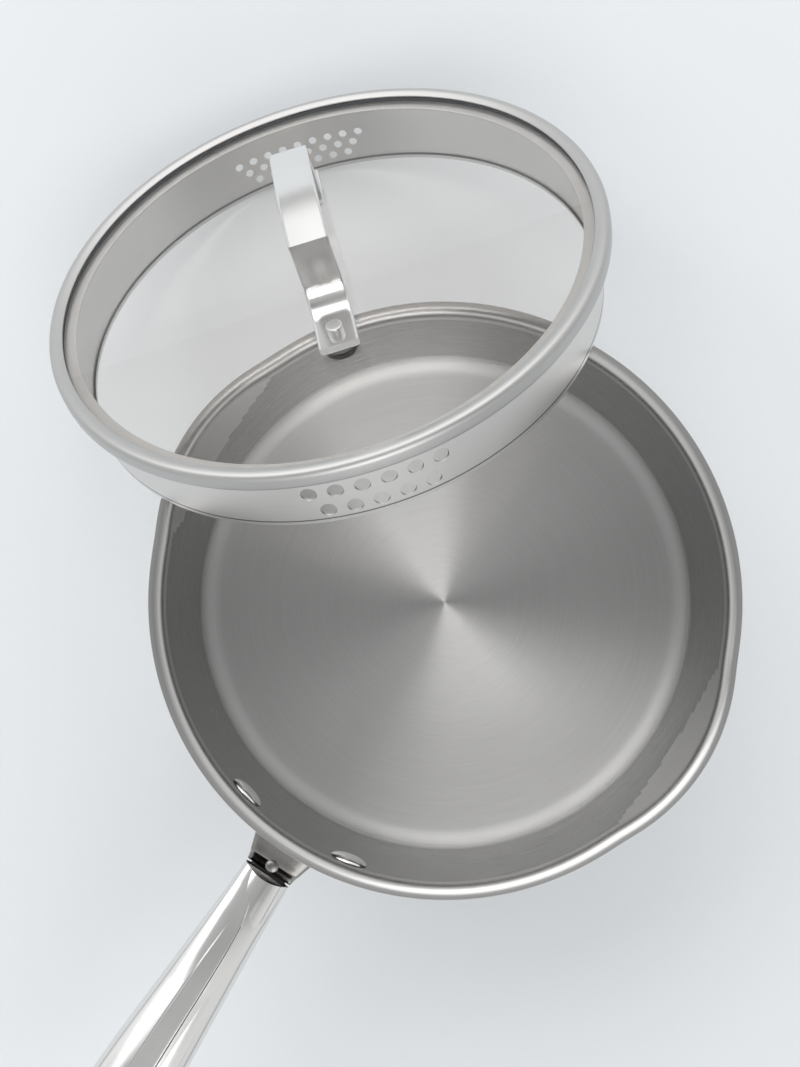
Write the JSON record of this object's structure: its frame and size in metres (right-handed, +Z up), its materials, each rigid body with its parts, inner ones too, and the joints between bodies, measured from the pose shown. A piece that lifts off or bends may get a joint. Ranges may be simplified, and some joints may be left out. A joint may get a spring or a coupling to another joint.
{
  "type": "saucepan with glass lid",
  "caption": "Stainless saucepan with pouring spouts and a long hollow handle; a glass lid with a perforated straining band and an arched strap handle leans against its rim.",
  "frame": {"origin": "middle of the pan's underside, on the surface it stands on", "axes": "+Z up along the pan's axis, +X out along the long handle, the pouring spouts at +Y and -Y"},
  "size_m": [0.4749, 0.3056, 0.155],
  "materials": {
    "satin_steel": "satin stainless steel, circular brushing on floor and wall",
    "ring_steel": "bright rolled stainless steel",
    "polished_steel": "mirror polished stainless steel",
    "core_aluminium": "pressed aluminium, edge hidden by the base cap",
    "clear_glass": "clear tempered glass with ground edge",
    "black_silicone": "black silicone",
    "clear_silicone": "translucent grey silicone"
  },
  "bodies": {
    "pan": {"pan_body": "satin_steel", "base_core": "core_aluminium", "base_cap": "satin_steel", "handle_bracket": "polished_steel", "bracket_pin": "polished_steel", "handle_rivet_left": "polished_steel", "handle_rivet_right": "polished_steel", "handle_upper_shell": "polished_steel", "handle_lower_shell": "polished_steel"},
    "lid_seal": {"glass_seal": "black_silicone"},
    "lid": {"lid_rim": "ring_steel", "lid_glass": "clear_glass", "strainer_band": "ring_steel", "lid_handle": "polished_steel", "lid_stud_near": "polished_steel", "upper_washer_near": "clear_silicone", "lower_washer_near": "black_silicone", "backing_washer_near": "ring_steel", "lid_stud_far": "polished_steel", "upper_washer_far": "clear_silicone", "lower_washer_far": "black_silicone", "backing_washer_far": "ring_steel"}
  },
  "joints": [
    {"name": "lid_lift", "type": "slide", "parent": "pan", "child": "lid_seal", "axis": [0, 0, 1], "range_m": [0, 0.16]},
    {"name": "lid_turn", "type": "hinge", "parent": "lid_seal", "child": "lid", "pos_m": [-0.07722, -0.10181, 0.08284], "axis": [-0.389, -0.5015, 0.7727], "continuous": true}
  ]
}
